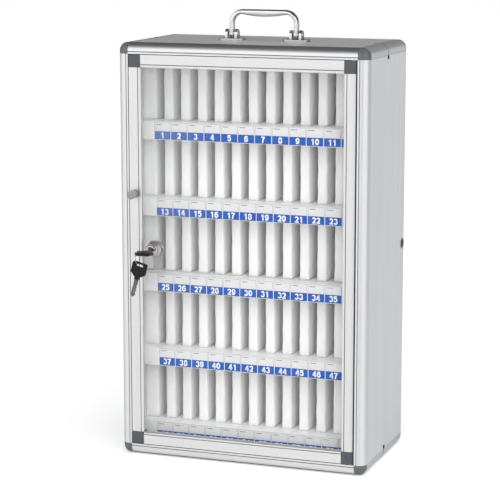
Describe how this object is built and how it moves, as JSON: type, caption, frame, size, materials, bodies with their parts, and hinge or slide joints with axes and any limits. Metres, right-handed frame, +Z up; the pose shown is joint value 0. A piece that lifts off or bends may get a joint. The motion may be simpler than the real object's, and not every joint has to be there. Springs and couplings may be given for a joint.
{
  "type": "lockable phone storage cabinet",
  "caption": "Aluminium cabinet with rows of narrow numbered phone slots behind a clear lockable door, a knob and a fold-down handle on top.",
  "frame": {"origin": "centre of the underside, on the surface it stands on", "axes": "+Z up, the door faces -Y and is hinged at +X"},
  "size_m": [0.3708, 0.2543, 0.644],
  "materials": {
    "frame_aluminium": "satin anodised extrusion",
    "panel_aluminium": "fine vertical brush lines, anodised",
    "top_aluminium": "matt anodised",
    "corner_plastic": "moulded, semi-gloss",
    "dark_plastic": "moulded, matt",
    "white_board": "white laminate",
    "shelf_white": "white powder coat",
    "divider_foam": "white closed-cell foam",
    "number_blue": "printed plastic plate",
    "card_white": "matt card",
    "window_clear": "clear acrylic sheet, polished",
    "gasket_rubber": "extruded rubber",
    "knob_plastic": "moulded, semi-gloss",
    "chrome_parts": "polished chrome plate",
    "steel_parts": "zinc-plated steel",
    "key_nickel": "nickel plate, worn",
    "key_plastic": "moulded, semi-gloss"
  },
  "bodies": {
    "cabinet": {"frame_front_top": "frame_aluminium", "frame_front_bottom": "frame_aluminium", "frame_front_left": "frame_aluminium", "frame_front_right": "frame_aluminium", "frame_rear_top": "frame_aluminium", "frame_rear_bottom": "frame_aluminium", "frame_rear_left": "frame_aluminium", "frame_rear_right": "frame_aluminium", "side_panel_left": "panel_aluminium", "side_panel_right": "panel_aluminium", "top_panel": "top_aluminium", "bottom_panel": "top_aluminium", "back_panel": "top_aluminium", "edge_profiles_front": "top_aluminium", "edge_profiles_rear": "top_aluminium", "corner_caps": "corner_plastic", "seam_joiners": "dark_plastic", "lining_back": "white_board", "lining_sides": "white_board", "lining_top": "white_board", "lining_bottom": "white_board", "shelf_1": "shelf_white", "dividers_row_1": "divider_foam", "shelf_2": "shelf_white", "dividers_row_2": "divider_foam", "shelf_3": "shelf_white", "dividers_row_3": "divider_foam", "shelf_4": "shelf_white", "dividers_row_4": "divider_foam", "shelf_5": "shelf_white", "dividers_row_5": "divider_foam", "number_plates": "number_blue", "name_cards": "card_white", "cable_grommet": "gasket_rubber", "hinge_pins": "steel_parts", "lock_keeper": "steel_parts", "handle_brackets": "chrome_parts", "handle_pins": "chrome_parts", "handle_screws": "chrome_parts"},
    "door": {"door_stile_left": "frame_aluminium", "door_stile_right": "frame_aluminium", "door_rail_top": "frame_aluminium", "door_rail_bottom": "frame_aluminium", "door_corner_blocks": "corner_plastic", "door_window": "window_clear", "window_gasket": "gasket_rubber", "door_knob": "knob_plastic", "knob_screw": "steel_parts", "hinge_bushes": "steel_parts", "lock_body": "chrome_parts", "lock_nut": "steel_parts"},
    "lock_cylinder": {"lock_plug": "chrome_parts", "lock_cam": "steel_parts", "cam_screw": "steel_parts"},
    "inserted_key": {"key_blade": "key_nickel", "key_bow": "key_plastic"},
    "ring": {"key_ring": "key_nickel"},
    "spare_key": {"spare_key_blade": "key_nickel", "spare_key_bow": "key_plastic"},
    "bail": {"handle_bail": "chrome_parts"}
  },
  "joints": [
    {"name": "door_hinge", "type": "hinge", "parent": "cabinet", "child": "door", "pos_m": [0.163, -0.095, 0.3], "axis": [0, 0, 1], "range_deg": [0, 95]},
    {"name": "lock_turn", "type": "hinge", "parent": "door", "child": "lock_cylinder", "pos_m": [-0.134, -0.1, 0.305], "axis": [0, 1, 0], "range_deg": [0, 90]},
    {"name": "key_withdraw", "type": "slide", "parent": "lock_cylinder", "child": "inserted_key", "axis": [0, -1, 0], "range_m": [0, 0.025]},
    {"name": "ring_swing", "type": "hinge", "parent": "inserted_key", "child": "ring", "pos_m": [-0.1375, -0.1394, 0.305], "axis": [1, 0, 0], "range_deg": [-70, 0]},
    {"name": "spare_key_swing", "type": "hinge", "parent": "ring", "child": "spare_key", "pos_m": [-0.1375, -0.1445, 0.2923], "axis": [0, 1, 0], "range_deg": [-30, 30]},
    {"name": "bail_fold", "type": "hinge", "parent": "cabinet", "child": "bail", "pos_m": [0, 0, 0.609], "axis": [1, 0, 0], "range_deg": [-90, 90]}
  ]
}
